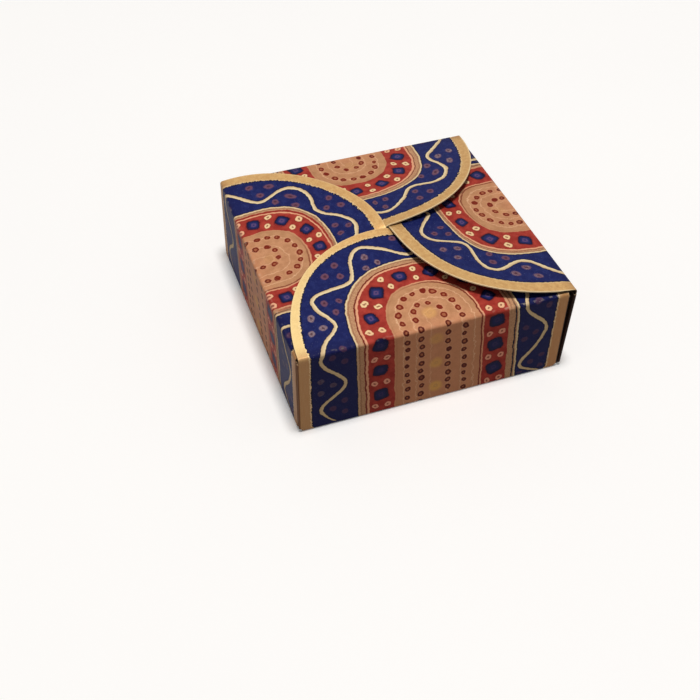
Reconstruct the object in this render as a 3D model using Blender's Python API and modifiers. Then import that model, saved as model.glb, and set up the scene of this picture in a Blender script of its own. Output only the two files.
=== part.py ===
"""A gift box folded from one sheet of card.

A square base carries four walls. A square web of card joins each wall to the next, and each web is
folded in half along its diagonal and lies flat against the inside of a wall. Each wall ends in a round
petal, and the four petals close the lid as a pinwheel: every petal lies over its neighbour on its left
and under its neighbour on its right, seen from outside.

Run it with blender --background --python part.py. Units are metres, +Z is up, the front wall faces
-Y, and the origin is in the middle of the underside.
"""

from math import atan, cos, hypot, pi, sin

import bmesh
import bpy

MM = 0.001

# The card, and how close two layers of it come
CARD = 0.38 * MM
AIR = 0.3 * MM
PITCH = CARD + AIR  # from the middle of one layer to the middle of the next

# The box
WIDTH = 100 * MM  # over the walls, at the base
HEIGHT = 36 * MM  # up to the fold at the top of a wall
WEB_DROP = 0.4 * MM  # the webs end this far under the folds of the lid
PINHOLE_TOP = 1.5 * MM  # five creases meet at each corner of the base and leave a pinhole below this
PINHOLE_PULL = 0.7 * MM  # how far the walls' ends stand back from it

# Radii of the folds, at the middle of the card
BASE_FOLD = 0.6 * MM
CORNER_FOLD = 0.45 * MM
LID_FOLD = 0.9 * MM
HAIRPIN = PITCH / 2

# The lid
LID_RISE = 0.078  # how steeply a petal climbs towards the middle
TUCK = 0.26  # how quickly a petal dips from its middle to its tucked right end
TUCK_BLEND = 5 * MM  # half the width over which the raised half turns into the tucked one
TIP_CLEAR = 0.5 * MM  # how far each petal's tip stops short of the middle
TIP_LIFT = 0.56 * MM  # the tip's left half rides up over the next petal, and its right half dips
TIP_TURN = 0.5 * MM  # half the width in which the very tip goes from over to under
TIP_REACH = (6 * MM, 36 * MM)  # the lift is whole inside the first distance and gone at the second

# Each side, going round from the front, with left and right as seen from outside:
#   twist  how quickly its petal climbs from its middle to its raised left end
#   full   how far its petal bulges past an ellipse halfway round each quarter, as a share of its size
#   crest  how much higher than HEIGHT its top fold runs, at the left end and at the right
#   lean   how far the top of its wall leans out at the left end
#   bow    how far the top of its wall bulges out at mid-width
#   gape   how far the pocket of the web at the left end opens at the top
SIDES = (
    {
        "twist": 0.18, "full": 0.015, "crest": (-0.3 * MM, -0.1 * MM),
        "lean": 0.0, "bow": 0.0, "gape": 0.0,
    },
    {
        "twist": 0.12, "full": 0.04, "crest": (0.7 * MM, -1.1 * MM),
        "lean": 2.4 * MM, "bow": 0.2 * MM, "gape": 1.2 * MM,
    },
    {
        "twist": 0.17, "full": 0.02, "crest": (-0.3 * MM, -0.1 * MM),
        "lean": 0.0, "bow": 0.0, "gape": 0.0,
    },
    {
        "twist": 0.13, "full": -0.03, "crest": (0.7 * MM, -1.1 * MM),
        "lean": 0.0, "bow": 0.8 * MM, "gape": 0.0,
    },
)

# The print: each field reaches out to its fraction of the way from the middle of a wall or petal to
# its edge
FIELDS = (
    ("tan_panel", 0.32, (0.58, 0.30, 0.14, 1), 0.0),
    ("red_band", 0.57, (0.38, 0.04, 0.03, 1), 0.0),
    ("navy_ground", 0.92, (0.012, 0.016, 0.13, 1), 0.0),
    ("gold_edge", 1.0, (0.68, 0.45, 0.17, 1), 0.8),
)
PLAIN_CARD = ("plain_card", (0.35, 0.18, 0.12, 1), 0.0)
CARD_ROUGHNESS = 0.35

# How finely the curved parts are divided
RINGS = (0.0, 0.16, 0.32, 0.45, 0.57, 0.70, 0.83, 0.92, 0.965, 1.0)
PETAL_STEPS = 48
PETAL_CROWDING = 0.65  # the steps crowd together at the petal's tip
FOLD_STEPS = 4
HAIRPIN_STEPS = 8
LAYER_STEPS = 3
WALL_STEPS = 4

# The middle of a wall's card, measured from the middle of the box, and the ends of its flat stretch
WALL_AT = (WIDTH - CARD) / 2
LEFT_END = -WALL_AT + HAIRPIN
RIGHT_END = WALL_AT - 2 * PITCH - CORNER_FOLD
CREST = HEIGHT - CARD / 2 - LID_FOLD  # where the fold at the top of a wall begins, at mid-width


def fractions(steps):
    """0 to 1 in equal steps, both ends included."""
    return [step / steps for step in range(steps + 1)]


def between(start, end, part):
    return start + (end - start) * part


def to_left(u):
    """1 at the left end of a wall's flat stretch and 0 at its right end."""
    return (RIGHT_END - u) / (RIGHT_END - LEFT_END)


def place(side, u, w, z):
    """A point u along a wall from left to right seen from outside, w in from its card, z up."""
    rise = min(z / HEIGHT, 1)
    lean = SIDES[side]["lean"] * to_left(u) * rise
    bow = SIDES[side]["bow"] * (1 - (2 * u / WIDTH) ** 2) * rise * (1 - w / WALL_AT)
    out = WALL_AT + lean + bow - w
    turns = ((1, 0), (0, 1), (-1, 0), (0, -1))
    cosine, sine = turns[side]
    return (cosine * u + sine * out, sine * u - cosine * out, z)


def wall_ends(side, z):
    """Where a wall's flat stretch begins and ends at height z."""
    after = SIDES[(side + 1) % 4]
    spread = (after["lean"] - after["gape"]) * min(z / HEIGHT, 1)
    return LEFT_END, RIGHT_END + spread


def wall_columns(side, z, pull=0.0):
    """The u of every column of a wall at height z."""
    left, right = wall_ends(side, z)
    left, right = left + pull, right - pull
    middle, half = (left + right) / 2, (right - left) / 2
    spread = [-ring for ring in reversed(RINGS[1:])] + list(RINGS)
    return [middle + half * part for part in spread]


def slope_of(side, u):
    """How steeply a petal climbs inward, u along its fold."""
    twist = SIDES[side]["twist"]
    bend = hypot(u, TUCK_BLEND) - TUCK_BLEND
    return LID_RISE - ((twist + TUCK) * u + (TUCK - twist) * bend) / 2 / WIDTH


def crest_of(side, u):
    """The height at which the fold at the top of a wall begins."""
    left, right = SIDES[side]["crest"]
    return CREST + between(right, left, to_left(u))


def lid_fold_point(side, u, angle):
    """w and z on the fold at the top of a wall, turned inward by angle."""
    return LID_FOLD * (1 - cos(angle)), crest_of(side, u) + LID_FOLD * sin(angle)


def lid_fold_end(side, u):
    """w and z where the fold at the top of a wall ends and its petal begins."""
    return lid_fold_point(side, u, pi / 2 - atan(slope_of(side, u)))


def petal_height(side, u, w):
    """The height of a petal's card at u along its fold and w in from its wall."""
    fold_w, fold_z = lid_fold_end(side, u)
    short = WALL_AT + SIDES[side]["lean"] * to_left(u) - w
    near, far = TIP_REACH
    fade = min(max((far - hypot(u, short)) / (far - near), 0), 1)
    fade = fade * fade * (3 - 2 * fade)
    lift = -TIP_LIFT * u / hypot(u, short, TIP_TURN) * fade
    return fold_z + slope_of(side, u) * (w - fold_w) + lift


def petal_point(side, ring, angle):
    """A point on a petal: ring is 0 at the middle of its fold and 1 on its edge, angle goes from the
    right end of the fold round to the left."""
    left, right = wall_ends(side, HEIGHT)
    middle, half = (left + right) / 2, (right - left) / 2
    full = ring * (1 + SIDES[side]["full"] * sin(2 * angle) ** 2)
    u = middle + half * full * cos(angle)
    reach = WALL_AT + SIDES[side]["lean"] * to_left(middle) - LID_FOLD - TIP_CLEAR
    w = lid_fold_end(side, u)[0] + reach * full * sin(angle)
    return place(side, u, w, petal_height(side, u, w))


def petal_angles():
    """Angles round a petal's edge, closer together at its tip."""
    turns = [2 * part - 1 for part in fractions(PETAL_STEPS)]
    return [pi / 2 * (1 + turn - PETAL_CROWDING * sin(pi * turn) / pi) for turn in turns]


def web_section(side, z):
    """The folded web at the left end of a wall, cut level at height z, from the wall before to this
    one: round the corner, in along the wall, back along its diagonal fold, and out to the wall."""
    mouth = 2 * PITCH + SIDES[side]["gape"] * min(z / HEIGHT, 1)
    corner = -WALL_AT
    points = []
    for part in fractions(FOLD_STEPS)[1:]:
        turn = part * pi / 2
        points.append((corner + CORNER_FOLD * (1 - cos(turn)), mouth + CORNER_FOLD * (1 - sin(turn))))
    start, end = corner + CORNER_FOLD, corner + z - HAIRPIN
    for part in fractions(LAYER_STEPS)[1:]:
        points.append((between(start, end, part), between(mouth, 2 * PITCH, part)))
    for part in fractions(HAIRPIN_STEPS)[1:]:
        turn = part * pi
        points.append((end + HAIRPIN * sin(turn), 1.5 * PITCH + HAIRPIN * cos(turn)))
    for part in fractions(LAYER_STEPS)[1:]:
        points.append((between(end, LEFT_END, part), PITCH))
    for part in fractions(HAIRPIN_STEPS)[1:-1]:
        turn = part * pi
        points.append((LEFT_END - HAIRPIN * sin(turn), 0.5 * PITCH + HAIRPIN * cos(turn)))
    return points


def web_heights(side):
    """The heights of the rows of the web at the left end of a wall, from the pinhole to its top."""
    lowest = min(crest_of(side, LEFT_END), crest_of((side - 1) % 4, RIGHT_END))
    return [between(PINHOLE_TOP, lowest - WEB_DROP, part) for part in fractions(WALL_STEPS)]


def wall_rows(bm, side):
    """The rows of vertices of one wall, from the edge of the base to the start of its petal."""
    rows = []
    for part in fractions(FOLD_STEPS):
        turn = part * pi / 2
        w, z = BASE_FOLD * (1 - sin(turn)), CARD / 2 + BASE_FOLD * (1 - cos(turn))
        rows.append([bm.verts.new(place(side, u, w, z)) for u in wall_columns(side, 0, PINHOLE_PULL)])
    for left_z, right_z in zip(web_heights(side), web_heights((side + 1) % 4)):
        row = []
        for u in wall_columns(side, right_z):
            row.append(bm.verts.new(place(side, u, 0, between(right_z, left_z, to_left(u)))))
        rows.append(row)
    for part in fractions(FOLD_STEPS):
        row = []
        for u in wall_columns(side, HEIGHT):
            w, z = lid_fold_point(side, u, part * (pi / 2 - atan(slope_of(side, u))))
            row.append(bm.verts.new(place(side, u, w, z)))
        rows.append(row)
    return rows


def fill_grid(bm, rows, slot_of):
    """Quads between each row of vertices and the next."""
    for lower, upper in zip(rows, rows[1:]):
        for column in range(len(lower) - 1):
            corners = (lower[column], lower[column + 1], upper[column + 1], upper[column])
            bm.faces.new(corners).material_index = slot_of(column)


def field_of(ring):
    """The print field between a ring and the one inside it."""
    edges = [edge for _, edge, _, _ in FIELDS]
    return next(slot for slot, edge in enumerate(edges) if RINGS[ring] <= edge + 1e-6)


def wall_field(column):
    """The print field of a column of a wall."""
    middle = len(RINGS) - 1
    return field_of(middle - column if column < middle else column - middle + 1)


def add_petal(bm, side, fold):
    """One petal of the lid, hung on the last row of its wall."""
    angles = petal_angles()
    middle = len(RINGS) - 1
    rings = []
    for ring in range(1, len(RINGS)):
        arc = [bm.verts.new(petal_point(side, RINGS[ring], angle)) for angle in angles[1:-1]]
        rings.append([fold[middle + ring], *arc, fold[middle - ring]])
    for one, other in zip(rings[0], rings[0][1:]):
        bm.faces.new((fold[middle], one, other)).material_index = field_of(1)
    for ring, (inner, outer) in enumerate(zip(rings, rings[1:])):
        fill_grid(bm, [outer, inner], lambda column, slot=field_of(ring + 2): slot)


def add_web(bm, side, before, after):
    """The folded web between the right end of one wall and the left end of the next."""
    rows = []
    for left, z, right in zip(before, web_heights(side), after):
        section = [bm.verts.new(place(side, u, w, z)) for u, w in web_section(side, z)]
        rows.append([left, *section, right])
    fill_grid(bm, rows, lambda column: len(FIELDS))


def add_base(bm, edges):
    """The base, with a narrow border so that its middle stays flat to the very edge of it."""
    outline = [vert for edge in edges for vert in edge]
    border = []
    for vert in outline:
        x, y, z = vert.co
        scale = 1 - 2 * BASE_FOLD / WALL_AT
        border.append(bm.verts.new((x * scale, y * scale, z)))
    for here in range(len(outline)):
        there = (here + 1) % len(outline)
        corners = (border[here], border[there], outline[there], outline[here])
        bm.faces.new(corners).material_index = len(FIELDS)
    bm.faces.new(border).material_index = len(FIELDS)


def build_sheet():
    """The middle of the card as one open surface, its faces turned outward and down."""
    bm = bmesh.new()
    walls = [wall_rows(bm, side) for side in range(4)]
    first = FOLD_STEPS + 1
    last = first + WALL_STEPS + 1
    for side, rows in enumerate(walls):
        fill_grid(bm, rows, wall_field)
        add_petal(bm, side, rows[-1])
        after = walls[(side + 1) % 4]
        right_edge = [row[-1] for row in rows[first:last]]
        left_edge = [row[0] for row in after[first:last]]
        add_web(bm, (side + 1) % 4, right_edge, left_edge)
    add_base(bm, [rows[0] for rows in walls])
    bmesh.ops.recalc_face_normals(bm, faces=bm.faces)
    mesh = bpy.data.meshes.new("folded_card")
    bm.to_mesh(mesh)
    bm.free()
    return mesh


def card_material(name, colour, metallic):
    material = bpy.data.materials.new(name)
    material.use_nodes = True
    shader = material.node_tree.nodes["Principled BSDF"]
    shader.inputs["Base Color"].default_value = colour
    shader.inputs["Roughness"].default_value = CARD_ROUGHNESS
    shader.inputs["Metallic"].default_value = metallic
    material.diffuse_color = colour
    return material


def main():
    for obj in list(bpy.data.objects):
        bpy.data.objects.remove(obj, do_unlink=True)
    collection = bpy.data.collections.new("paper_gift_box")
    bpy.context.scene.collection.children.link(collection)

    mesh = build_sheet()
    for name, _, colour, metallic in FIELDS:
        mesh.materials.append(card_material(name, colour, metallic))
    mesh.materials.append(card_material(*PLAIN_CARD))

    card = bpy.data.objects.new("folded_card", mesh)
    collection.objects.link(card)
    mesh.shade_smooth()
    mesh.set_sharp_from_angle(angle=pi / 5)

    thickness = card.modifiers.new("card thickness", "SOLIDIFY")
    thickness.thickness = CARD
    thickness.offset = 0
    thickness.use_even_offset = True


main()
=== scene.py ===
from math import atan, cos, hypot, pi, radians, sin, sqrt

import bmesh
import bpy
from mathutils import Matrix, Vector


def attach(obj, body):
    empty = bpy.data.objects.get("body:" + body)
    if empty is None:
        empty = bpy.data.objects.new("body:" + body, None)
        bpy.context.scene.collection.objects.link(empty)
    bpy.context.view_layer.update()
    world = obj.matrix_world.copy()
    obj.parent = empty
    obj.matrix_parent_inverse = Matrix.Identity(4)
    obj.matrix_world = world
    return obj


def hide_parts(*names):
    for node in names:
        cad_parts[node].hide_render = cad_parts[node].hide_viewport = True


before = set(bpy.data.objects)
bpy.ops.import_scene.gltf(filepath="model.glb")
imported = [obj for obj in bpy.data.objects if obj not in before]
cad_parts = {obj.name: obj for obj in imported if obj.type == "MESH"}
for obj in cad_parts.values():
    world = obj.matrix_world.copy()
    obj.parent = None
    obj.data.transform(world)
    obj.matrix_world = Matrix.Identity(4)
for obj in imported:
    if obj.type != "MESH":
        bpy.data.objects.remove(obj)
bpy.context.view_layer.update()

mm = 0.001


# one sheet: base, four walls, a folded web in each corner, and four round petals for a lid
foldedCard = {
    "thickness": 0.38 * mm,
    "layerGap": 0.3 * mm,
    "width": 100 * mm,
    "height": 36 * mm,  # up to the fold at the top of a wall
    "webDrop": 0.4 * mm,
    "pinholeTop": 1.5 * mm,  # the small hole in each corner of the base ends here
    "pinholePull": 0.7 * mm,
    "baseFold": 0.6 * mm,  # radii of the folds, at the middle of the card
    "cornerFold": 0.45 * mm,
    "lidFold": 0.9 * mm,
    "lidRise": 0.078,  # how steeply a petal climbs towards the middle
    "tuck": 0.26,  # how quickly it dips towards its right end
    "tuckBlend": 5 * mm,
    "tipClear": 0.5 * mm,
    "tipLift": 0.56 * mm,
    "tipTurn": 0.5 * mm,
    "tipReach": (6 * mm, 36 * mm),
    # front, right, back and left, with the ends as seen from outside
    "sides": (
        {"twist": 0.18, "full": 0.015, "crest": (-0.3, -0.1), "lean": 0.0, "bow": 0.0, "gape": 0.0},
        {"twist": 0.12, "full": 0.04, "crest": (0.7, -1.1), "lean": 2.4, "bow": 0.2, "gape": 1.2},
        {"twist": 0.17, "full": 0.02, "crest": (-0.3, -0.1), "lean": 0.0, "bow": 0.0, "gape": 0.0},
        {"twist": 0.13, "full": -0.03, "crest": (0.7, -1.1), "lean": 0.0, "bow": 0.8, "gape": 0.0},
    ),
    "wallColumns": 26,  # steps from the middle of a wall to each end
    "wallSteps": 14,
    "foldSteps": 6,
    "layerSteps": 8,
    "hairpinSteps": 10,
    "petalSteps": 108,
    "petalCrowding": 0.6,
    "baseScales": (0.976, 0.8, 0.6, 0.4, 0.2),
}

# where each part of the sheet lies on the map that the colours are baked to, in millimetres of card
bakeMap = {
    "size": 205.0,
    "armOrigins": ((51.5, 1.5), (153.5, 1.5), (51.5, 90.0), (153.5, 90.0)),
    "plainScale": 0.2,
    "webOrigins": ((2, 181), (18, 181), (34, 181), (50, 181)),
    "baseOrigin": (76, 191),
    "insideOrigin": (92, 179),
    "insideScale": 0.12,
    "edgeOrigin": (122, 180),
    "edgeCell": 1.6,
    "edgeCells": 48,
}

pitch = foldedCard["thickness"] + foldedCard["layerGap"]
hairpin = pitch / 2
wallAt = (foldedCard["width"] - foldedCard["thickness"]) / 2
leftEnd = -wallAt + hairpin
rightEnd = wallAt - 2 * pitch - foldedCard["cornerFold"]
crestBase = foldedCard["height"] - foldedCard["thickness"] / 2 - foldedCard["lidFold"]


def fractions(steps):
    return [step / steps for step in range(steps + 1)]


def between(start, end, part):
    return start + (end - start) * part


def toLeft(u):  # 1 at the left end of a wall and 0 at its right end
    return (rightEnd - u) / (rightEnd - leftEnd)


# u runs along a wall from left to right seen from outside, w in from its card, z up
def place(side, u, w, z):
    rise = min(z / foldedCard["height"], 1)
    shape = foldedCard["sides"][side]
    lean = shape["lean"] * mm * toLeft(u) * rise
    bow = shape["bow"] * mm * (1 - (2 * u / foldedCard["width"]) ** 2) * rise * (1 - w / wallAt)
    out = wallAt + lean + bow - w
    cosine, sine = ((1, 0), (0, 1), (-1, 0), (0, -1))[side]
    return (cosine * u + sine * out, sine * u - cosine * out, z)


def wallEnds(side, z):
    after = foldedCard["sides"][(side + 1) % 4]
    spread = (after["lean"] - after["gape"]) * mm * min(z / foldedCard["height"], 1)
    return leftEnd, rightEnd + spread


def slopeOf(side, u):  # how steeply a petal climbs inward
    twist, tuck = foldedCard["sides"][side]["twist"], foldedCard["tuck"]
    blend = foldedCard["tuckBlend"]
    bend = hypot(u, blend) - blend
    return foldedCard["lidRise"] - ((twist + tuck) * u + (tuck - twist) * bend) / 2 / foldedCard["width"]


def crestOf(side, u):  # where the fold at the top of a wall begins
    left, right = foldedCard["sides"][side]["crest"]
    return crestBase + between(right, left, toLeft(u)) * mm


def lidFoldPoint(side, u, angle):
    radius = foldedCard["lidFold"]
    return radius * (1 - cos(angle)), crestOf(side, u) + radius * sin(angle)


def lidTurn(side, u):
    return pi / 2 - atan(slopeOf(side, u))


def petalHeight(side, u, w):
    foldW, foldZ = lidFoldPoint(side, u, lidTurn(side, u))
    short = wallAt + foldedCard["sides"][side]["lean"] * mm * toLeft(u) - w
    near, far = foldedCard["tipReach"]
    fade = min(max((far - hypot(u, short)) / (far - near), 0), 1)
    fade = fade * fade * (3 - 2 * fade)
    lift = -foldedCard["tipLift"] * u / hypot(u, short, foldedCard["tipTurn"]) * fade
    return foldZ + slopeOf(side, u) * (w - foldW) + lift


class CardSheet:
    # the middle of the card as one open surface, which carries the flat net's coordinates

    def __init__(self):
        self.bm = bmesh.new()
        self.net = self.bm.verts.layers.float_vector.new("cardNet")
        self.rim = self.bm.verts.layers.float.new("cardRim")
        self.bake = self.bm.loops.layers.uv.new("OFBake")

    # along and up are millimetres on the flat net, and ring is 1 on the cut edge
    def point(self, side, u, w, z, up, ring):
        vert = self.bm.verts.new(place(side, u, w, z))
        vert[self.net] = (u / mm, up / mm, side)
        vert[self.rim] = ring
        return vert

    def armPlace(self, vert):
        along, up, side = vert[self.net]
        originX, originY = bakeMap["armOrigins"][round(side)]
        return originX + along, originY + up

    def face(self, corners, slot, places):
        face = self.bm.faces.new(corners)
        face.material_index = slot
        for loop, spot in zip(face.loops, places):
            loop[self.bake].uv = Vector(spot) / bakeMap["size"]

    def grid(self, rows, slot, placeOf):
        for r, row in enumerate(rows[:-1]):
            for c in range(len(row) - 1):
                spots = ((r, c), (r, c + 1), (r + 1, c + 1), (r + 1, c))
                corners = [rows[i][j] for i, j in spots]
                self.face(corners, slot, [placeOf(rows[i][j], i, j) for i, j in spots])

    def wallColumns(self, side, z, pull=0.0):
        left, right = wallEnds(side, z)
        left, right = left + pull, right - pull
        steps = foldedCard["wallColumns"]
        for column in range(-steps, steps + 1):
            part = column / steps
            yield between(left, right, (part + 1) / 2), abs(part)

    def webHeights(self, side):
        lowest = min(crestOf(side, leftEnd), crestOf((side - 1) % 4, rightEnd))
        top = lowest - foldedCard["webDrop"]
        return [between(foldedCard["pinholeTop"], top, part) for part in fractions(foldedCard["wallSteps"])]

    def wall(self, side):
        rows = []
        radius, half = foldedCard["baseFold"], foldedCard["thickness"] / 2
        for part in fractions(foldedCard["foldSteps"]):
            turn = part * pi / 2
            w, z = radius * (1 - sin(turn)), half + radius * (1 - cos(turn))
            columns = self.wallColumns(side, 0, foldedCard["pinholePull"])
            rows.append([self.point(side, u, w, z, z - w, ring) for u, ring in columns])
        for leftZ, rightZ in zip(self.webHeights(side), self.webHeights((side + 1) % 4)):
            row = []
            for u, ring in self.wallColumns(side, rightZ):
                z = between(rightZ, leftZ, toLeft(u))
                row.append(self.point(side, u, 0, z, z, ring))
            rows.append(row)
        for part in fractions(foldedCard["foldSteps"]):
            row = []
            for u, ring in self.wallColumns(side, foldedCard["height"]):
                angle = part * lidTurn(side, u)
                w, z = lidFoldPoint(side, u, angle)
                up = crestOf(side, u) + foldedCard["lidFold"] * angle
                row.append(self.point(side, u, w, z, up, ring))
            rows.append(row)
        self.grid(rows, 0, lambda vert, i, j: self.armPlace(vert))
        return rows

    def petalPoint(self, side, ring, angle):
        left, right = wallEnds(side, foldedCard["height"])
        middle, half = (left + right) / 2, (right - left) / 2
        full = ring * (1 + foldedCard["sides"][side]["full"] * sin(2 * angle) ** 2)
        u = middle + half * full * cos(angle)
        lean = foldedCard["sides"][side]["lean"] * mm * toLeft(middle)
        reach = wallAt + lean - foldedCard["lidFold"] - foldedCard["tipClear"]
        foldW, foldZ = lidFoldPoint(side, u, lidTurn(side, u))
        w = foldW + reach * full * sin(angle)
        flat = (w - foldW) * sqrt(1 + slopeOf(side, u) ** 2)
        up = crestOf(side, u) + foldedCard["lidFold"] * lidTurn(side, u) + flat
        return self.point(side, u, w, petalHeight(side, u, w), up, ring)

    def petal(self, side, fold):
        steps, crowding = foldedCard["petalSteps"], foldedCard["petalCrowding"]
        turns = [2 * part - 1 for part in fractions(steps)]
        angles = [pi / 2 * (1 + turn - crowding * sin(pi * turn) / pi) for turn in turns]
        middle = foldedCard["wallColumns"]
        rings = []
        for ring in range(middle, 0, -1):
            arc = [self.petalPoint(side, ring / middle, angle) for angle in angles[1:-1]]
            rings.append([fold[middle + ring], *arc, fold[middle - ring]])
        self.grid(rings, 0, lambda vert, i, j: self.armPlace(vert))
        for one, other in zip(rings[-1], rings[-1][1:]):
            corners = (fold[middle], one, other)
            self.face(corners, 0, [self.armPlace(vert) for vert in corners])

    # a web cut level at height z: round the corner, in along the wall, back, and out to the wall
    def webSection(self, side, z):
        mouth = 2 * pitch + foldedCard["sides"][side]["gape"] * mm * min(z / foldedCard["height"], 1)
        corner, fold = -wallAt, foldedCard["cornerFold"]
        layers, hairs = foldedCard["layerSteps"], foldedCard["hairpinSteps"]
        points = []
        for part in fractions(foldedCard["foldSteps"])[1:]:
            turn = part * pi / 2
            points.append((corner + fold * (1 - cos(turn)), mouth + fold * (1 - sin(turn))))
        start, end = corner + fold, corner + z - hairpin
        for part in fractions(layers)[1:]:
            points.append((between(start, end, part), between(mouth, 2 * pitch, part)))
        for part in fractions(hairs)[1:]:
            turn = part * pi
            points.append((end + hairpin * sin(turn), 1.5 * pitch + hairpin * cos(turn)))
        for part in fractions(layers)[1:]:
            points.append((between(end, leftEnd, part), pitch))
        for part in fractions(hairs)[1:-1]:
            turn = part * pi
            points.append((leftEnd - hairpin * sin(turn), 0.5 * pitch + hairpin * cos(turn)))
        return points

    def web(self, side, before, after):
        rows, places = [], []
        scale = bakeMap["plainScale"]
        originX, originY = bakeMap["webOrigins"][side]
        for left, z, right in zip(before, self.webHeights(side), after):
            section = [self.point(side, u, w, z, z, 0.5) for u, w in self.webSection(side, z)]
            row = [left, *section, right]
            run, line = 0.0, []
            for one, other in zip(row, row[1:] + row[-1:]):
                line.append((originX + scale * run / mm, originY + scale * z / mm))
                run += (other.co - one.co).length
            rows.append(row)
            places.append(line)
        self.grid(rows, 1, lambda vert, i, j: places[i][j])

    def base(self, edges):
        outline = [vert for edge in edges for vert in edge]
        scale = bakeMap["plainScale"] / mm
        originX, originY = bakeMap["baseOrigin"]

        def spot(vert):
            return originX + scale * vert.co.x * 0.6, originY + scale * vert.co.y * 0.6

        squares = [outline]
        for size in foldedCard["baseScales"]:
            squares.append([self.bm.verts.new((v.co.x * size, v.co.y * size, v.co.z)) for v in outline])
        for outer, inner in zip(squares, squares[1:]):
            for here in range(len(outline)):
                there = (here + 1) % len(outline)
                corners = (inner[here], inner[there], outer[there], outer[here])
                self.face(corners, 1, [spot(vert) for vert in corners])
        centre = self.bm.verts.new((0, 0, foldedCard["thickness"] / 2))
        for here, vert in enumerate(squares[-1]):
            corners = (centre, squares[-1][(here + 1) % len(outline)], vert)
            self.face(corners, 1, [spot(vert) for vert in corners])

    def build(self):
        walls = [self.wall(side) for side in range(4)]
        first = foldedCard["foldSteps"] + 1
        last = first + foldedCard["wallSteps"] + 1
        for side, rows in enumerate(walls):
            self.petal(side, rows[-1])
            after = walls[(side + 1) % 4]
            rightEdge = [row[-1] for row in rows[first:last]]
            leftEdge = [row[0] for row in after[first:last]]
            self.web((side + 1) % 4, rightEdge, leftEdge)
        self.base([rows[0] for rows in walls])
        mesh = bpy.data.meshes.new("foldedCard")
        self.bm.to_mesh(mesh)
        self.bm.free()
        return mesh


# gives the sheet its thickness, with an inside and a cut edge that have their own materials
def thicken(mesh, materials):
    sheet = bpy.data.objects.new("sheet", mesh)
    bpy.context.scene.collection.objects.link(sheet)
    for material in materials:
        mesh.materials.append(material)
    solid = sheet.modifiers.new("card thickness", "SOLIDIFY")
    solid.thickness = foldedCard["thickness"]
    solid.offset = 0
    solid.use_even_offset = True
    solid.material_offset = 2
    solid.material_offset_rim = 4
    graph = bpy.context.evaluated_depsgraph_get()
    thick = bpy.data.meshes.new_from_object(
        sheet.evaluated_get(graph), preserve_all_data_layers=True, depsgraph=graph
    )
    thick.name = "foldedCard"
    bpy.data.objects.remove(sheet)
    bake = thick.uv_layers["OFBake"].data
    edges = 0
    size, cell = bakeMap["size"], bakeMap["edgeCell"]
    inside = Vector(bakeMap["insideOrigin"]) / size
    for polygon in thick.polygons:
        if polygon.material_index in (2, 3):
            for loop in polygon.loop_indices:
                bake[loop].uv = inside + bake[loop].uv * bakeMap["insideScale"]
        elif polygon.material_index >= 4:
            row, column = divmod(edges, bakeMap["edgeCells"])
            x, y = bakeMap["edgeOrigin"][0] + cell * column, bakeMap["edgeOrigin"][1] + cell * row
            edges += 1
            for loop, (dx, dy) in zip(polygon.loop_indices, ((0, 0), (1, 0), (1, 1), (0, 1))):
                bake[loop].uv = Vector((x + dx * cell, y + dy * cell)) / size
    thick.shade_smooth()
    thick.set_sharp_from_angle(angle=radians(38))
    print("card edges", edges)
    return thick


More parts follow.
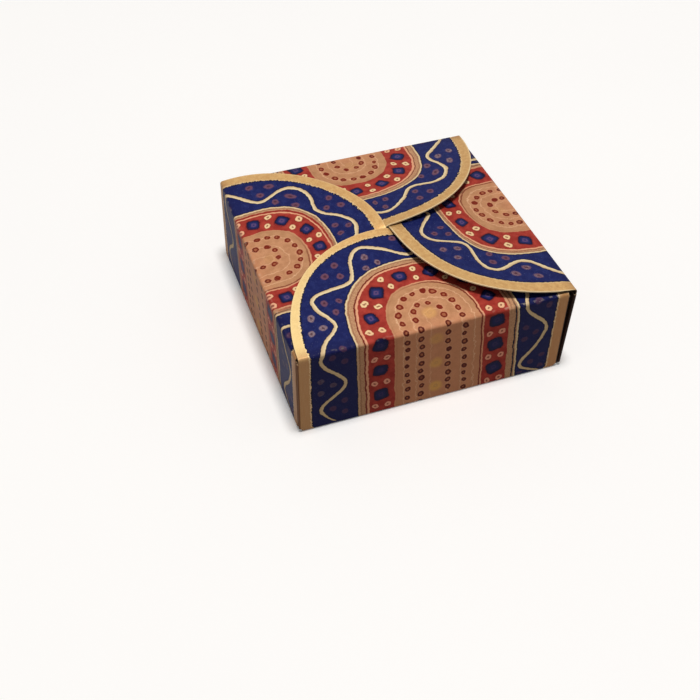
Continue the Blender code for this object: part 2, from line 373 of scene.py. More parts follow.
# one output of a material's nodes, which can be used in arithmetic
class Signal:
    def __init__(self, tree, socket):
        self.tree = tree
        self.socket = socket

    # settings come first, then values or signals go to the sockets, by name or number
    def node(self, kind, settings=None, inputs=None, output=0):
        made = self.tree.nodes.new(kind)
        for name, value in (settings or {}).items():
            if name == "points":
                curve = made.mapping.curves[0]
                for spot in value[1:-1]:
                    curve.points.new(*spot)
                for point, spot in zip((curve.points[0], curve.points[-1]), (value[0], value[-1])):
                    point.location = spot
                made.mapping.update()
            elif name == "stops":
                ramp = made.color_ramp.elements
                while len(ramp) < len(value):
                    ramp.new(0.5)
                for element, (spot, colour) in zip(ramp, value):
                    element.position, element.color = spot, colour
            else:
                setattr(made, name, value)
        for name, value in (inputs or {}).items():
            if isinstance(value, Signal):
                self.tree.links.new(value.socket, made.inputs[name])
            else:
                made.inputs[name].default_value = value
        return Signal(self.tree, made.outputs[output])

    def math(self, operation, *values, clamp=False):
        return self.node(
            "ShaderNodeMath", {"operation": operation, "use_clamp": clamp}, dict(enumerate(values))
        )

    def __add__(self, other):
        return self.math("ADD", self, other)

    def __sub__(self, other):
        return self.math("SUBTRACT", self, other)

    def __rsub__(self, other):
        return self.math("SUBTRACT", other, self)

    def __mul__(self, other):
        return self.math("MULTIPLY", self, other)

    def __truediv__(self, other):
        return self.math("DIVIDE", self, other)

    def __rtruediv__(self, other):
        return self.math("DIVIDE", other, self)

    def __neg__(self):
        return self.math("MULTIPLY", self, -1.0)

    def __abs__(self):
        return self.math("ABSOLUTE", self)

    def __gt__(self, other):
        return self.math("GREATER_THAN", self, other)

    def __lt__(self, other):
        return self.math("LESS_THAN", self, other)

    __radd__ = __add__
    __rmul__ = __mul__

    def atLeast(self, other):
        return self.math("MAXIMUM", self, other)

    def atMost(self, other):
        return self.math("MINIMUM", self, other)

    def hypot(self, other):
        return self.math("SQRT", self * self + other * other)

    # 1 where the signal is under the limit and 0 where it is over it, with a soft step
    def under(self, limit, soft=0.09):
        return self.math("ADD", (limit - self) / (2 * soft), 0.5, clamp=True)

    def over(self, limit, soft=0.09):
        return self.math("ADD", (self - limit) / (2 * soft), 0.5, clamp=True)

    def smooth(self, start, end):
        return self.node(
            "ShaderNodeMapRange",
            {"interpolation_type": "SMOOTHSTEP"},
            {"Value": self, "From Min": start, "From Max": end},
        )

    # a drawn line where the signal is zero
    def line(self, halfWidth, soft=0.09):
        return abs(self).under(halfWidth, soft)

    # a small drawn ring where the signal is the distance from its middle
    def ring(self, outer, inner, soft=0.12):
        return self.under(outer, soft) * self.over(inner, soft)

    def split(self):
        tree = self.tree
        parts = self.node("ShaderNodeSeparateXYZ", None, {0: self}).socket.node
        return [Signal(tree, output) for output in parts.outputs]

    def combine(self, x, y, z=0.0):
        return self.node("ShaderNodeCombineXYZ", None, {0: x, 1: y, 2: z})

    def vector(self, operation, *values):
        return self.node("ShaderNodeVectorMath", {"operation": operation}, dict(enumerate(values)))

    # the second colour over the first, as far as the signal says
    def mix(self, first, second):
        return self.node(
            "ShaderNodeMix",
            {"data_type": "RGBA"},
            {"Factor": self, 6: first, 7: second},
            2,
        )

    def noise(self, scale, detail=2.0, output=0, rough=0.5):
        return self.node(
            "ShaderNodeTexNoise",
            None,
            {"Vector": self, "Scale": scale, "Detail": detail, "Roughness": rough},
            output,
        )


# a colour as it is picked on a screen, 0 to 255
def paint(red, green, blue):
    def linear(value):
        value /= 255
        return value / 12.92 if value <= 0.04045 else ((value + 0.055) / 1.055) ** 2.4

    return (linear(red), linear(green), linear(blue), 1.0)


def newMaterial(name):
    material = bpy.data.materials.new(name)
    material.use_nodes = True
    tree = material.node_tree
    shader = tree.nodes["Principled BSDF"]
    return material, Signal(tree, None), shader


def wire(shader, **links):
    for name, value in links.items():
        socket = shader.inputs[name.replace("_", " ")]
        if isinstance(value, Signal):
            value.tree.links.new(value.socket, socket)
        else:
            socket.default_value = value


# lengths in millimetres on the flat card, where a wall and its petal make one arm of the net
cardPrint = {
    "foldUp": 36.0,
    # what differs from arm to arm: front, right, back, left
    "arms": {
        "shift": (0.5, 1.6, 0.0, -0.3),  # the middle of the arches
        "archUp": (40.1, 38.8, 39.3, 40.5),
        "flatTop": (0.055, 0.115, 0.09, 0.1),  # how much the outer arches are pressed down
        "shoulder": (2.15, 2.6, 2.3, 2.35),  # 2 is round, more is squarer
        "tanEdge": (16.4, 16.0, 15.2, 15.2),
        "redEdge": (25.9, 25.9, 24.9, 24.0),
        "borderEdge": (29.9, 28.9, 28.7, 27.4),
        "darkLine": (0.24, 0.12, 0.14, 0.48),
        "squareStart": (4.7, 2.2, 3.0, 0.6),
        "squareStep": (11.88, 12.9, 11.15, 11.1),
        "dotShift": (-0.8, 1.2, -0.2, -1.15),
        "dotUp": (41.4, 39.3, 40.4, 41.6),
        "innerShift": (-1.3, 1.4, -0.6, -2.4),
        "innerUp": (41.5, 38.8, 39.0, 40.0),
        "waveMiddle": (38.8, 36.9, 37.3, 37.1),
        "waveDrift": (0.0, 6.0, 5.0, 4.2),
        "waveLate": (0.0, 0.0, 3.0, 3.2),  # how much later the wavy line turns on the petal
        "crestLate": (0.0, 0.0, 3.2, 0.4),  # and how much later still at its topmost crest
        "waveCalm": (0.0, 0.0, 0.27, 0.42),  # how much less it swings there
        "goldWidth": (3.0, 5.2, 4.1, 4.1),
        "goldSwing": (0.6, 0.0, 0.35, 0.2),
        "linedEdge": (1.0, 0.8, 0.1, 0.8),
        "goldPaintedShade": (0.0, 0.0, 0.15, 0.15),  # shade painted into the gold
        "ragged": (2.0, 1.0, 2.4, 2.8),
        "edgeHighlight": (0.15, 0.7, 0.55, 0.2),  # a painted highlight along the very edge
        "armPaintedShade": (0.0, 0.1, 0.08, 0.03),  # shade painted over the whole arm
        "worn": (0.12, 0.15, 0.2, 0.2),
    },
    "bandTrack": 21.5,
    "sway": 1.2,  # everything but the wavy line sways to the right towards the foot of the wall
    "squareHalf": (2.8, 2.5),  # on a wall and on a petal
    "pairApart": 2.3,
    "ringOuter": 1.22,
    "ringInner": 0.42,
    "dotRows": (10.6, 5.0),
    "dotStep": 3.95,
    "dotSize": 1.08,
    "discStep": 11.9,
    # where the wavy line swings out and in by turns, along the track from the left wall's foot
    "waveTurns": (-28, -16.5, -3.5, 10, 20, 33.5, 47, 63, 75, 93, 102, 121, 135.5, 151),
    "waveEnds": (-34.5, 157.5),
    "waveTrack": 38.5,
    "waveSwing": 4.3,
    "waveHalfWidth": 0.62,
    "goldOnWall": 4.1,
    "rimScale": 49.5,
    "pressedOver": 27.0,  # how far up the outer arches are pressed down
    "discStart": 6.1,
    "wornAtRight": 0.35,  # more wear at the right end of the front fold
    "roughness": 0.46,
    "goldMetal": 0.28,
    "specular": 0.06,  # far below real card, so that the white floor doesn't haze the navy
    "colours": {
        "gold": paint(226, 184, 122),
        "goldDeep": paint(206, 158, 100),
        # painted shade for the gold, on the back and left petals and on the walls
        "goldDim": paint(170, 132, 92),
        # a painted highlight for the gold of the front petal
        "goldPaintedHighlight": paint(240, 216, 154),
        # painted shade: the gold darker on the walls
        "goldOnWall": paint(160, 108, 70),
        "goldLine": paint(238, 214, 168),
        "navy": paint(25, 32, 88),
        "navyLight": paint(37, 46, 104),
        # painted shade: navy darker on the walls
        "navyOnWall": paint(20, 20, 64),
        "navyDark": paint(6, 7, 28),
        "squareDark": paint(20, 12, 40),
        "red": paint(182, 68, 56),
        "redDeep": paint(156, 50, 42),
        "redDark": paint(118, 28, 22),
        "tan": paint(212, 154, 114),
        "tanDeep": paint(190, 134, 96),
        "tanOnWall": paint(218, 146, 108),
        "olive": paint(188, 142, 102),
        "cream": paint(252, 230, 184),
        "creamShade": paint(222, 192, 148),
        "ring": paint(252, 216, 164),
        "ringOnWall": paint(244, 168, 138),
        "pink": paint(240, 172, 134),
        "disc": paint(238, 182, 98),
        "maroon": paint(124, 38, 22),
        # painted shade for the dots on the walls
        "maroonDark": paint(84, 28, 20),
        "dotHeart": paint(184, 112, 78),
        "mauve": paint(126, 82, 96),
        "pale": paint(176, 156, 156),
        "ringHeart": paint(66, 30, 44),
        "slate": paint(116, 84, 124),
        "border": paint(210, 162, 122),
        "borderDeep": paint(184, 134, 100),
        "borderLine": paint(150, 104, 78),
        "speck": paint(120, 132, 168),
        "worn": paint(222, 206, 184),
    },
}


# a track runs up the left side, over the arch and down the right side
def trackOf(x, up, middleUp, radius):
    above = (up - middleUp).atLeast(0.0)
    below = (middleUp - up).atLeast(0.0)
    angle = x.math("ARCTAN2", above, -x)
    side = x.math("SIGN", x)
    return angle * radius + side * below, x.hypot(above)


# places marks at equal steps along a track: the mark's number and how far along it is from its middle
def marksOn(track, start, step):
    steps = (track - start) / step + 0.5
    number = steps.math("FLOOR", steps)
    return number, (steps - number - 0.5) * step


class CardPrint:
    def __init__(self, start):
        net = start.node("ShaderNodeAttribute", {"attribute_name": "cardNet"}, None, "Vector")
        self.rim = start.node("ShaderNodeAttribute", {"attribute_name": "cardRim"}, None, "Fac")
        self.ink = cardPrint["colours"]
        self.arm = net.split()[2]
        self.isArm = [self.arm.math("COMPARE", self.arm, float(side), 0.1) for side in range(4)]
        self.spread = net.vector("MULTIPLY", net, (1.0, 1.0, 37.0))
        # every edge strays a little
        coarse = self.spread.noise(0.16, 1.0, "Color")
        fine = self.spread.noise(0.8, 1.0, "Color")
        stray = net.vector("MULTIPLY_ADD", coarse, (1.1, 1.1, 0.0), (-0.55, -0.55, 0.0))
        stray = net.vector("MULTIPLY_ADD", fine, (0.6, 0.6, 0.0), stray)
        stray = net.vector("ADD", stray, (-0.3, -0.3, 0.0))
        self.x, self.up, _ = net.vector("ADD", net, stray).split()
        self.onPetal = self.up.smooth(cardPrint["foldUp"] - 3, cardPrint["foldUp"] + 5)
        self.tone = self.spread.noise(0.35, 3.0)
        self.streak = self.spread.noise(1.6, 3.0, 0, 0.65)

        # distance from the middle of the arches, with their shoulders drawn a little square
        self.down = ((38.0 - self.up) / 36.0).atLeast(0.0)
        self.swayed = self.x - self.down * cardPrint["sway"]
        self.archX, self.archUp = self.swayed - self.perArm("shift"), self.perArm("archUp")
        self.band, _ = trackOf(self.archX, self.up, self.archUp, cardPrint["bandTrack"])
        across = abs(self.archX)
        above = (self.up - self.archUp).atLeast(0.0)
        pressed = above / cardPrint["pressedOver"]
        above = above * (pressed * pressed * pressed * self.perArm("flatTop") + 1.0)
        shoulder = self.perArm("shoulder")
        power = across.math("POWER", across, shoulder) + above.math("POWER", above, shoulder)
        self.arch = power.math("POWER", power, 1 / shoulder)

    def perArm(self, name):
        values = cardPrint["arms"][name]
        total = values[0]
        for isSide, value in zip(self.isArm[1:], values[1:]):
            total = isSide * (value - values[0]) + total
        return total

    # three numbers between 0 and 1 that are the same all over one mark
    def chance(self, number, seed):
        key = self.arm.combine(number, self.arm * 7.0, seed)
        return key.node("ShaderNodeTexWhiteNoise", None, {"Vector": key}, "Color").split()

    def tanPanel(self):
        ink, tanEdge = self.ink, self.perArm("tanEdge")
        colour = self.tone.smooth(0.3, 0.75).mix(ink["tan"], ink["tanDeep"])
        fromEdge = self.arch - tanEdge
        colour = (self.streak.smooth(0.45, 0.7) * 0.4).mix(colour, ink["tanDeep"])
        colour = (fromEdge.over(-3.3, 0.3) * 0.3).mix(colour, ink["olive"])
        colour = (0.6 - self.onPetal * 0.6).mix(colour, ink["tanOnWall"])
        # engraved lines follow the rows of dots
        contour = self.spread.noise(0.5, 2.0) * 2.2 - 1.1
        for away, strength in ((fromEdge + 3.3, 0.5), (fromEdge + 8.0, 0.42), (fromEdge + 13.2, 0.3)):
            line = away + contour
            colour = ((line + 0.42).line(0.14, 0.16) * strength * 0.6).mix(colour, ink["olive"])
            colour = (line.line(0.2, 0.2) * strength).mix(colour, ink["pink"])
            colour = (line.line(0.06, 0.14) * strength).mix(colour, ink["cream"])
        # pale discs up the middle, fainter towards the petal
        _, alongDisc = marksOn(self.up, cardPrint["discStart"], cardPrint["discStep"])
        away = (self.swayed + 0.6).hypot(alongDisc)
        fade = self.up.under(47.0, 1.0) * (0.8 - self.up.smooth(4, 32) * 0.4)
        fade = fade * (1 - (1 - self.isArm[0]) * self.up.over(36.0, 1.0) * 0.75)
        colour = (away.under(2.4, 0.7) * fade).mix(colour, ink["disc"])
        colour = ((away - 0.6).line(0.14, 0.25) * fade * 0.8).mix(colour, ink["tanDeep"])
        # two rows of dots, most of them with a pale heart
        swayed = self.swayed - self.down * 0.4
        names = (("dotShift", "dotUp"), ("innerShift", "innerUp"))
        for (shift, up), radius, seed in zip(names, cardPrint["dotRows"], (0.0, 50.0)):
            row, rowOut = trackOf(swayed - self.perArm(shift), self.up, self.perArm(up), radius)
            number, along = marksOn(row, cardPrint["dotStep"] / 2, cardPrint["dotStep"])
            jitterX, jitterY, size = self.chance(number, seed)
            along, across = along + jitterX * 0.8 - 0.4, rowOut - radius + jitterY * 0.5 - 0.25
            away = (along * 0.88).hypot(across) - size * 0.3 + 0.15 + (self.streak - 0.5) * 0.5
            edge = cardPrint["dotSize"]
            colour = (away.under(edge + 0.3, 0.2) * 0.35).mix(colour, ink["pink"])
            # painted shade: the dots darker on the walls
            dots = self.onPetal.mix(ink["maroonDark"], ink["maroon"])
            colour = away.under(edge, 0.14).mix(colour, dots)
            heart = away.under(0.42, 0.16) * jitterX.over(0.2, 0.1) * 0.8
            colour = heart.mix(colour, ink["dotHeart"])
        return colour, fromEdge

    def redBand(self):
        ink = self.ink
        middle = (self.perArm("tanEdge") + self.perArm("redEdge")) / 2 + 0.3
        across = self.arch - middle
        colour = self.tone.smooth(0.3, 0.7).mix(ink["red"], ink["redDeep"])
        step = self.perArm("squareStep")
        number, along = marksOn(self.band, self.perArm("squareStart"), step)
        jitterX, jitterY, turn = self.chance(number, 0.0)
        spin = (turn - 0.5) * 1.0
        cosine, sine = spin.math("COSINE", spin), spin.math("SINE", spin)
        longer = abs(along * cosine + across * sine + jitterX * 0.5 - 0.25)
        shorter = abs(across * cosine - along * sine + jitterY * 0.4 - 0.2)
        corner = 2.8 + jitterX * 2.0
        power = longer.math("POWER", longer, corner) + shorter.math("POWER", shorter, corner)
        square = power.math("POWER", power, 1 / corner) + (self.streak - 0.5) * 0.5
        onWall, onPetal = cardPrint["squareHalf"]
        half = self.onPetal * (onPetal - onWall) + onWall + (jitterY - 0.5) * 0.4
        colour = (square.under(half + 0.28, 0.3) * 0.55).mix(colour, ink["redDark"])
        blues = (square / half).smooth(0.4, 1.0).mix(ink["navyLight"], ink["squareDark"])
        # painted shade: the squares darker on the walls
        blues = (self.onPetal * 0.6 + 0.4).mix(ink["squareDark"], blues)
        colour = square.under(half, 0.16).mix(colour, blues)
        heart = (square - 0.65).line(0.26, 0.26) * (self.onPetal * 0.6 + 0.15)
        colour = heart.mix(colour, ink["slate"])
        # a pair of rings stands between one square and the next
        between = abs(along) - step / 2
        apart = abs(across + jitterY * 0.5 - 0.25) - cardPrint["pairApart"]
        pair = (between + jitterX * 0.5 - 0.25).hypot(apart)
        outer, inner = cardPrint["ringOuter"], cardPrint["ringInner"]
        colour = (pair.under(outer + 0.25, 0.2) * 0.5).mix(colour, ink["redDark"])
        rings = self.onPetal.mix(ink["ringOnWall"], ink["ring"])
        colour = pair.under(outer, 0.14).mix(colour, rings)
        return (pair.under(inner, 0.18) * 0.85).mix(colour, ink["redDark"])

    # lines beside the edge of the tan panel, stronger on its right side
    def linedEdge(self, colour, fromEdge):
        ink = self.ink
        strength = self.perArm("linedEdge") * (self.archX.smooth(-12, 9) * 0.85 + 0.1)
        colour = ((fromEdge + 0.75).line(0.27, 0.12) * strength).mix(colour, ink["redDark"])
        return ((fromEdge + 0.1).line(0.24, 0.12) * strength).mix(colour, ink["pink"])

    def redBorder(self, fromRed, width):
        ink = self.ink
        colour = self.streak.smooth(0.35, 0.65).mix(ink["border"], ink["borderDeep"])
        fromOuter = width - fromRed
        right = self.archX.over(0.0, 4.0) * self.down.over(0.0, 0.1)
        left = 1 - right
        colour = ((fromRed - 0.35).line(0.36, 0.12) * left).mix(colour, ink["pink"])
        dark = self.isArm[3].mix(ink["redDark"], ink["redDeep"])
        colour = ((fromRed - 1.1).line(self.perArm("darkLine"), 0.12) * left).mix(colour, dark)
        colour = ((fromOuter - 1.35).line(0.3, 0.14) * right).mix(colour, ink["navyDark"])
        colour = ((fromOuter - 1.05).line(0.12, 0.14) * left).mix(colour, ink["borderLine"])
        strength = 1 - self.down.over(0.12, 0.06) * left * 0.7
        return ((fromOuter - 0.3).line(0.26, 0.12) * strength).mix(colour, ink["goldLine"])

    # a wavy line all round the arm, with three small rings in each of its pockets
    def wavyLine(self, colour):
        ink, look = self.ink, cardPrint
        track, out = trackOf(self.x, self.up, look["foldUp"], look["waveTrack"])
        drift = (track / 75.0).math("ADD", track / 75.0, 0.0, clamp=True) * pi
        late = track.smooth(20, 32) * self.perArm("waveLate")
        late = (late + track.smooth(44, 54) * self.perArm("crestLate")) * track.smooth(105, 75)
        calm = track.smooth(30, 50) * track.smooth(75, 62) * self.perArm("waveCalm")
        track = track - drift.math("SINE", drift) * self.perArm("waveDrift") - late
        middle = (self.perArm("waveMiddle") - 37.5) * self.onPetal + 37.5
        low, high = -40.0, 160.0
        count = len(look["waveTurns"]) + 3
        shares = [(spot - low) / (high - low) for spot in look["waveTurns"]]
        turns = [(share, (turn + 2) / count) for turn, share in enumerate(shares)]
        points = [(0.0, 1 / count), *turns, (1.0, (count - 0.3) / count)]

        def phaseAt(place):
            share = (place - low) / (high - low)
            return share.node("ShaderNodeFloatCurve", {"points": points}, {"Value": share}) * count - 2.0

        phase = phaseAt(track)
        pace = ((phaseAt(track + 1.0) - phaseAt(track - 1.0)) / 2.0).atLeast(0.03)
        swing = (phase * pi).math("COSINE", phase * pi) * (1.0 - calm) * look["waveSwing"]
        slope = (phase * pi).math("SINE", phase * pi) * (1.0 - calm) * pace * (look["waveSwing"] * pi)
        start, end = look["waveEnds"]
        taper = track.smooth(start, start + 7) * track.smooth(end, end - 6)
        offLine = (out - middle - swing) / (slope * slope + 1.0).math("SQRT", slope * slope + 1.0)
        alive = track.over(start, 0.3) * track.under(end, 0.3)
        halfWidth = taper * (look["waveHalfWidth"] - 0.25) + 0.25 + (self.streak - 0.5) * 0.16
        edge = abs(offLine) - halfWidth
        colour = (edge.under(0.3, 0.2) * alive * 0.7).mix(colour, ink["navyDark"])
        creams = (offLine / halfWidth).smooth(-1.0, 0.8).mix(ink["cream"], ink["creamShade"])
        # painted shade: the wavy line darker on the walls
        creams = (self.onPetal * 0.8 + 0.2).mix(ink["creamShade"], creams)
        colour = (edge.under(0.0, 0.1) * alive).mix(colour, creams)

        pocket = (phase + 0.5).math("FLOOR", phase + 0.5)
        along = (phase - pocket) / pace
        flip = pocket.math("FLOORED_MODULO", pocket, 2.0) * 2.0 - 1.0
        jitterX, jitterY, jitterTone = self.chance(pocket, 20.0)
        pair = (abs(along + jitterX - 0.5) - 2.9).hypot(out - middle - flip * 4.2 + jitterY * 0.8 - 0.4)
        lone = (along + jitterY * 1.2 - 0.6).hypot(out - middle + flip * 0.2 + jitterX * 0.6 - 0.3)
        rings = pair.atMost(lone)
        rings = rings + (self.streak - 0.5) * 0.4
        ringInk = (jitterTone + (self.streak - 0.5) * 0.9).smooth(0.7, 1.05).mix(ink["mauve"], ink["pale"])
        strength = self.onPetal * 0.5 + 0.27
        colour = (rings.under(1.25, 0.2) * strength).mix(colour, ringInk)
        return (rings.under(0.5, 0.2) * strength).mix(colour, ink["ringHeart"])

    def navyGround(self):
        ink = self.ink
        navy = self.spread.noise(0.5, 4.0).smooth(0.4, 0.75).mix(ink["navy"], ink["navyLight"])
        # painted shade: the navy darker on the walls
        navy = (self.onPetal * 0.75 + 0.25).mix(ink["navyOnWall"], navy)
        speck = self.spread.noise(3.2, 0.0).over(0.79, 0.02)
        return (speck * 0.4).mix(navy, ink["speck"])

    # gold along the cut edge, torn on its inner side
    def goldEdge(self, colour):
        ink, look = self.ink, cardPrint
        above = (self.up - look["foldUp"]).atLeast(0.0)
        turn = self.x.math("ARCTAN2", above, abs(self.x)) * 4.0
        onPetal = self.perArm("goldWidth") + turn.math("COSINE", turn) * self.perArm("goldSwing")
        width = (onPetal - look["goldOnWall"]) * self.onPetal + look["goldOnWall"]
        torn = (self.spread.noise(1.0, 3.0, 0, 0.7) - 0.5) * self.perArm("ragged")
        fromCut = (1 - self.rim) * look["rimScale"]
        inward = fromCut + torn - width
        golds = self.spread.noise(0.6, 5.0, 0, 0.7).smooth(0.3, 0.7).mix(ink["goldDeep"], ink["gold"])
        # painted shade: the gold duller on the back and left petals
        golds = self.perArm("goldPaintedShade").mix(golds, ink["goldDim"])
        # painted highlight: the front petal's gold lighter towards its left end
        golds = (self.isArm[0] * (-self.x).smooth(8, 46) * 0.6).mix(golds, ink["goldPaintedHighlight"])
        brushed = self.spread.vector("MULTIPLY", self.spread, (4.0, 0.15, 1.0)).noise(1.0, 3.0)
        # painted shade: the gold darker on the walls, with brushed streaks
        onWall = (brushed.smooth(0.35, 0.65) * 0.35).mix(ink["goldOnWall"], ink["goldDim"])
        golds = (self.onPetal * 0.85 + 0.15).mix(onWall, golds)
        # painted highlight along the cut edge of the petals' gold, strongest on the right and back
        golds = (fromCut.under(0.42, 0.15) * self.onPetal * self.perArm("edgeHighlight")).mix(golds, ink["cream"])
        golds = ((inward + 0.22).line(0.14, 0.12) * 0.7).mix(golds, ink["goldLine"])
        colour = (inward.under(0.42, 0.2) * 0.9).mix(colour, ink["navyDark"])
        gold = inward.under(0.0, 0.07)
        return gold.mix(colour, golds), gold

    def build(self):
        colour, fromTan = self.tanPanel()
        colour = fromTan.over(0.0).mix(colour, self.redBand())
        colour = self.linedEdge(colour, fromTan)
        redEdge, borderEdge = self.perArm("redEdge"), self.perArm("borderEdge")
        fromRed = self.arch - redEdge
        width = borderEdge - redEdge
        colour = fromRed.over(0.0).mix(colour, self.redBorder(fromRed, width))
        fromBorder = fromRed - width
        navy = self.navyGround()
        navy = (fromBorder.under(0.35, 0.2) * 0.8).mix(navy, self.ink["navyDark"])
        colour = fromBorder.over(0.0).mix(colour, self.wavyLine(navy))
        colour, gold = self.goldEdge(colour)
        # the ink is worn thin in a few places along the fold
        along = (self.up - cardPrint["foldUp"] + 0.3).line(0.3, 0.25)
        rubbed = self.perArm("worn") + self.isArm[0] * self.x.smooth(20, 30) * cardPrint["wornAtRight"]
        worn = self.spread.noise(0.45, 4.0).over(0.56, 0.04) * along * rubbed
        colour = worn.mix(colour, self.ink["worn"])
        # the grain of the card shows through the ink, and each arm is darkened by its own painted shade
        grain = self.spread.noise(2.0, 4.0, 0, 0.75) * 0.4 + 0.8 - self.perArm("armPaintedShade")
        colour = colour.vector("MULTIPLY", colour, grain.combine(grain, grain, grain))
        return colour, gold, worn


def makePrintedCard():
    material, start, shader = newMaterial("printedCard")
    card = CardPrint(start)
    colour, gold, worn = card.build()
    patches = card.spread.noise(0.22, 2.0)
    height = card.spread.noise(4.0, 3.0) + patches * 2.0 + card.tone * 0.8
    bump = start.node("ShaderNodeBump", None, {"Strength": 0.14, "Distance": 0.0002, "Height": height})
    wire(
        shader,
        Base_Color=colour,
        Metallic=gold * cardPrint["goldMetal"],
        Roughness=cardPrint["roughness"] + patches * 0.12 + worn * 0.2 - gold * 0.06,
        Normal=bump,
        Specular_IOR_Level=cardPrint["specular"],
    )
    return material


plainCard = {
    "ground": paint(164, 122, 104),
    "deep": paint(150, 108, 92),
    "corner": paint(22, 12, 12),
    "paleCorner": paint(136, 94, 62),
    "inside": paint(150, 118, 100),
    "insideDeep": paint(138, 106, 90),
    "insideFleck": paint(116, 88, 74),
    "cut": paint(246, 226, 188),
    "cutDeep": paint(224, 200, 164),
    "cutFleck": paint(170, 138, 104),
    "shadeFrom": 45.5 * mm,  # the painted shade begins and is whole at these distances from the middle
    "shadeWhole": 47.5 * mm,
    "specular": 0.06,
}


# shade painted into the folded corners, least at the front left: it isn't the card's own colour
def darkCorners(spot, colour, amount):
    x, y, _ = spot.split()
    inCorner = abs(x).atMost(abs(y)).smooth(plainCard["shadeFrom"], plainCard["shadeWhole"])
    front = (-y).over(0.0, 0.005) * (-x).over(0.0, 0.005)
    dark = front.mix(plainCard["corner"], plainCard["paleCorner"])
    return (inCorner * amount).mix(colour, dark)


def makePlainCard():
    material, start, shader = newMaterial("plainCard")
    spot = start.node("ShaderNodeTexCoord", None, None, "Object")
    patches = spot.noise(60.0, 3.0)
    fibres = spot.noise(2500.0, 3.0)
    ground = patches.mix(plainCard["deep"], plainCard["ground"])
    bump = start.node("ShaderNodeBump", None, {"Strength": 0.15, "Distance": 0.0002, "Height": fibres})
    wire(
        shader,
        Base_Color=darkCorners(spot, ground, 0.9),
        Roughness=0.4 + patches * 0.12,
        Normal=bump,
        Specular_IOR_Level=plainCard["specular"],
    )
    return material


def makeInsideCard():
    material, start, shader = newMaterial("insideCard")
    spot = start.node("ShaderNodeTexCoord", None, None, "Object")
    fibres = spot.noise(3000.0, 4.0)
    clouds = spot.noise(90.0, 3.0)
    bump = start.node("ShaderNodeBump", None, {"Strength": 0.25, "Distance": 0.0002, "Height": fibres})
    ground = clouds.mix(plainCard["inside"], plainCard["insideDeep"])
    ground = darkCorners(spot, ground, 0.9)
    wire(
        shader,
        Base_Color=(fibres.over(0.62, 0.05) * 0.3).mix(ground, plainCard["insideFleck"]),
        Roughness=0.75 + clouds * 0.15,
        Normal=bump,
        Specular_IOR_Level=plainCard["specular"],
    )
    return material


def makeCutEdge():
    material, start, shader = newMaterial("cutEdge")
    spot = start.node("ShaderNodeTexCoord", None, None, "Object")
    fibres = spot.noise(4000.0, 3.0)
    wear = spot.noise(220.0, 2.0)
    colour = fibres.mix(plainCard["cut"], plainCard["cutDeep"])
    colour = darkCorners(spot, colour, 0.8)
    wire(
        shader,
        Base_Color=(wear.over(0.62, 0.05) * 0.3).mix(colour, plainCard["cutFleck"]),
        Roughness=0.8 + fibres * 0.1,
        Specular_IOR_Level=plainCard["specular"],
    )
    return material


def makeFoldedCard():
    outside, plain = makePrintedCard(), makePlainCard()
    inside, cut = makeInsideCard(), makeCutEdge()
    mesh = thicken(CardSheet().build(), [outside, plain, inside, inside, cut, cut])
    card = bpy.data.objects.new("foldedCard", mesh)
    bpy.context.scene.collection.objects.link(card)
    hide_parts("folded_card")
    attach(card, "root")
    mesh.calc_loop_triangles()
    print("folded card", len(mesh.loop_triangles), "triangles")
    return card


floorLook = {
    "size": 3.0,
    "height": -0.02 * mm,
    "seen": (paint(254, 254, 254), paint(251, 251, 252)),
    "glow": 0.1,
    "bounce": paint(156, 150, 144),  # what it sends back to the card
}


# 1 for what the camera sees, also through a reflection
def seenDirectly(start):
    path = start.node("ShaderNodeLightPath").socket.node
    names = ("Is Camera Ray", "Is Glossy Ray", "Is Transmission Ray")
    seen = [Signal(start.tree, path.outputs[name]) for name in names]
    return seen[0].atLeast(seen[1]).atLeast(seen[2])


def makeFloor():
    half, z = floorLook["size"] / 2, floorLook["height"]
    mesh = bpy.data.meshes.new("floor")
    corners = [(-half, -half, z), (half, -half, z), (half, half, z), (-half, half, z)]
    mesh.from_pydata(corners, [], [(0, 1, 2, 3)])
    floor = bpy.data.objects.new("floor", mesh)
    bpy.context.scene.collection.objects.link(floor)
    material, start, shader = newMaterial("floor")
    spot = start.node("ShaderNodeTexCoord", None, None, "Object")
    pale = spot.noise(6.0, 2.0).mix(*floorLook["seen"])
    wire(
        shader,
        Base_Color=seenDirectly(start).mix(floorLook["bounce"], pale),
        Emission_Color=seenDirectly(start).mix((0, 0, 0, 1), (1, 1, 1, 1)),
        Emission_Strength=floorLook["glow"],
        Roughness=0.9,
        Specular_IOR_Level=0.1,
    )
    mesh.materials.append(material)
    print("floor")


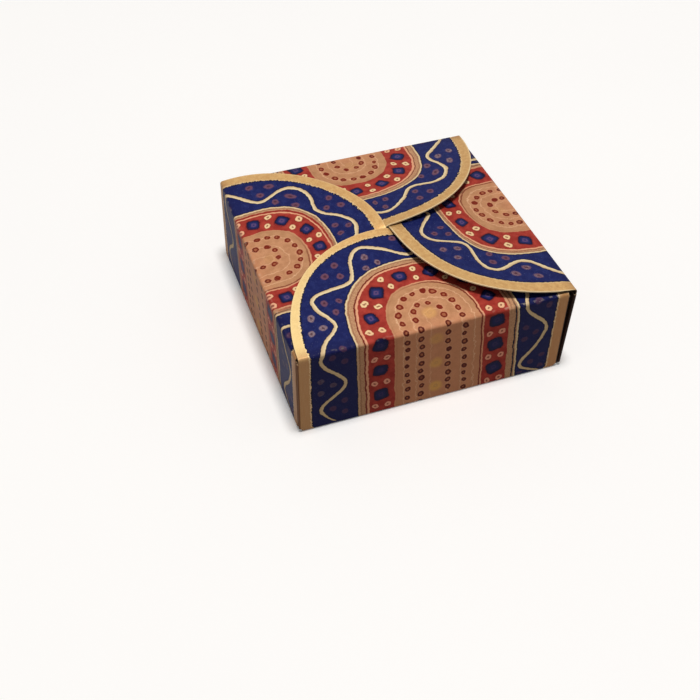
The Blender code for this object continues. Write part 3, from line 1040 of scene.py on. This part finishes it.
studio = {
    "keyFrom": (0.05, -0.1, 2.4),
    "keySize": 0.5,
    "keyPower": 41.0,
    "keyColour": (1.0, 0.97, 0.93),
    "fill": 0.2,
}


def makeLights():
    lamp = bpy.data.lights.new("window", "AREA")
    lamp.shape = "DISK"
    lamp.size = studio["keySize"]
    lamp.energy = studio["keyPower"]
    lamp.color = studio["keyColour"]
    key = bpy.data.objects.new("window", lamp)
    key.location = studio["keyFrom"]
    key.rotation_euler = (-Vector(studio["keyFrom"])).to_track_quat("-Z", "Y").to_euler()
    bpy.context.scene.collection.objects.link(key)

    world = bpy.data.worlds.new("studio")
    bpy.context.scene.world = world
    world.use_nodes = True
    tree = world.node_tree
    background = tree.nodes["Background"]
    strength = seenDirectly(Signal(tree, None)) * (1.0 - studio["fill"]) + studio["fill"]
    background.inputs["Color"].default_value = (1, 1, 1, 1)
    tree.links.new(strength.socket, background.inputs["Strength"])
    print("lights")


view = {
    "azimuth": -20.18,  # from the front, to the left
    "elevation": 41.5,
    "distance": 0.492,
    "target": (0.00166, 0.02785, 0.0),
    "roll": 0.94,
    "lens": 62.95,
    "sensor": 36,
    "shift": (-0.021, -0.129),
}


def makeCamera():
    azimuth, elevation = radians(view["azimuth"]), radians(view["elevation"])
    away = Vector((sin(azimuth) * cos(elevation), -cos(azimuth) * cos(elevation), sin(elevation)))
    lens = bpy.data.cameras.new("camera")
    lens.lens = view["lens"]
    lens.sensor_width = view["sensor"]
    lens.shift_x, lens.shift_y = view["shift"]
    lens.clip_start = 0.01
    camera = bpy.data.objects.new("camera", lens)
    roll = Matrix.Rotation(radians(view["roll"]), 4, "Z")
    turn = (-away).to_track_quat("-Z", "Y").to_matrix().to_4x4() @ roll
    camera.matrix_world = Matrix.Translation(Vector(view["target"]) + away * view["distance"]) @ turn
    bpy.context.scene.collection.objects.link(camera)
    bpy.context.scene.camera = camera
    print("camera")


bpy.context.scene.view_settings.view_transform = "Standard"
makeCamera()
makeFoldedCard()
makeFloor()
makeLights()
